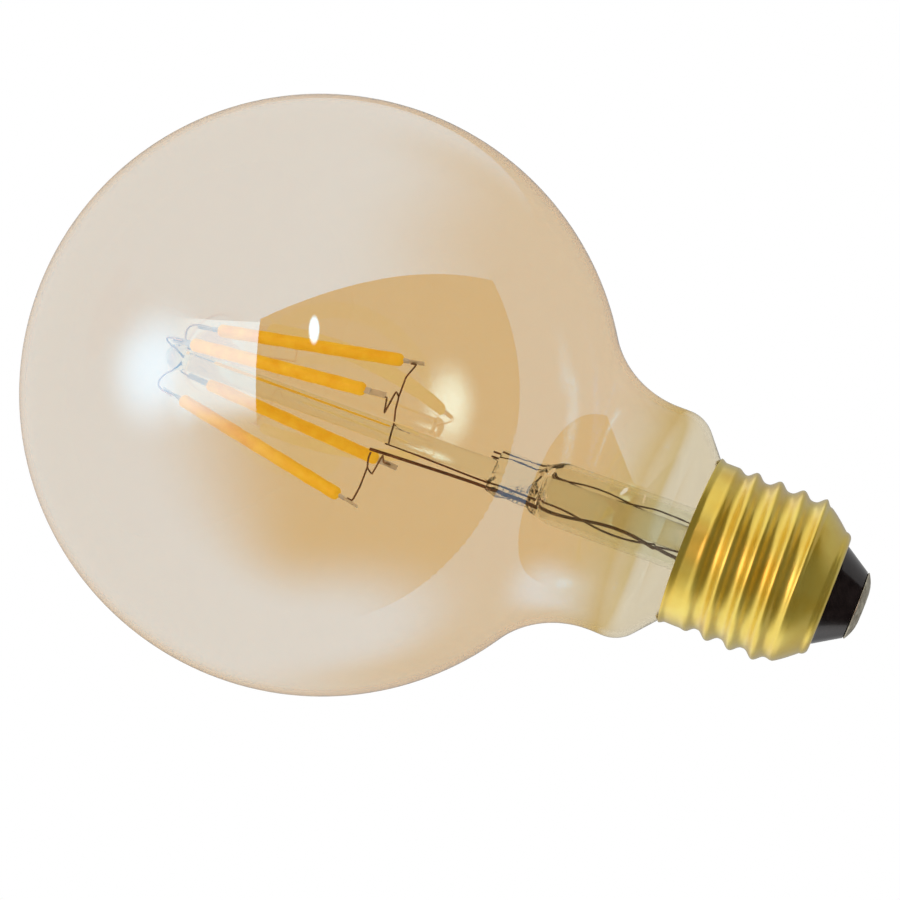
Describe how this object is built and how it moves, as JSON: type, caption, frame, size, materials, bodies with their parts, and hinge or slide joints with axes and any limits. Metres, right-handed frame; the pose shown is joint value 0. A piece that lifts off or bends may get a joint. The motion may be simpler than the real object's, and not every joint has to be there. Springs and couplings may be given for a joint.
{
  "type": "smart filament light bulb",
  "caption": "Amber glass globe lamp with a brass screw cap, straight filaments on a glass stem, and a driver board and radio module inside the cap.",
  "frame": {"origin": "centre of the flat outer face of the centre contact, at the lamp's lowest point", "axes": "+Z along the lamp's axis from the contact to the crown of the globe; +X and +Y across it; the lamp stands cap down, as in a lampholder that faces up"},
  "size_m": [0.095, 0.095, 0.1368],
  "materials": {
    "amber_glass": "clear glass with a thin amber coating",
    "stem_glass": "clear glass",
    "cap_brass": "rolled sheet, satin",
    "insulator_glass": "black cap glass, glossy",
    "tinned_contact": "tinned, satin",
    "solder": "solder, satin",
    "cement": "cap cement, matt",
    "support_wire": "nickel-plated wire",
    "lead_wire": "copper-clad wire, browned",
    "phosphor": "silicone with phosphor, matt",
    "strip_ceramic": "alumina strip",
    "led_chip": "light-emitting chips",
    "tab_metal": "plated strip",
    "sleeve_plastic": "insulating plastic sheet",
    "board_green": "circuit board",
    "board_blue": "circuit board",
    "capacitor_can": "can in a dark blue sleeve",
    "tinned_lead": "tinned wire",
    "ferrite": "ferrite, matt",
    "copper_winding": "enamelled copper wire",
    "chip_case": "moulded case",
    "resistor_body": "lacquered ceramic",
    "chip_part": "small surface-mount parts",
    "shield_metal": "plated sheet",
    "antenna_copper": "copper trace",
    "pin_metal": "plated pins",
    "red_insulation": "wire insulation",
    "black_insulation": "wire insulation"
  },
  "bodies": {
    "root": {"glass_globe": "amber_glass", "stem_flare": "stem_glass", "exhaust_tube": "stem_glass", "support_pillar": "stem_glass", "pillar_bead": "stem_glass", "screw_shell": "cap_brass", "base_insulator": "insulator_glass", "centre_contact": "tinned_contact", "contact_solder": "solder", "neck_cement": "cement", "top_spider": "support_wire", "lower_link_right": "support_wire", "lower_link_left": "support_wire", "pillar_hook_wire": "support_wire", "lead_wire_1": "lead_wire", "lead_wire_2": "lead_wire", "lead_wire_3": "lead_wire", "lead_wire_4": "lead_wire", "filament_1": "phosphor", "filament_2": "phosphor", "filament_3": "phosphor", "filament_4": "phosphor", "filament_strips": "strip_ceramic", "filament_chips": "led_chip", "filament_end_tabs": "tab_metal", "insulating_sleeve": "sleeve_plastic", "driver_board": "board_green", "radio_module_board": "board_blue", "smoothing_capacitor": "capacitor_can", "capacitor_leads": "tinned_lead", "resistor_leads": "tinned_lead", "inductor_core": "ferrite", "inductor_winding": "copper_winding", "bridge_rectifier": "chip_case", "driver_chip": "chip_case", "dimming_transistors": "chip_case", "fusible_resistor": "resistor_body", "chip_components": "chip_part", "radio_shield_can": "shield_metal", "radio_antenna": "antenna_copper", "module_pins": "pin_metal", "contact_wire": "red_insulation", "shell_wire": "black_insulation"}
  },
  "joints": []
}
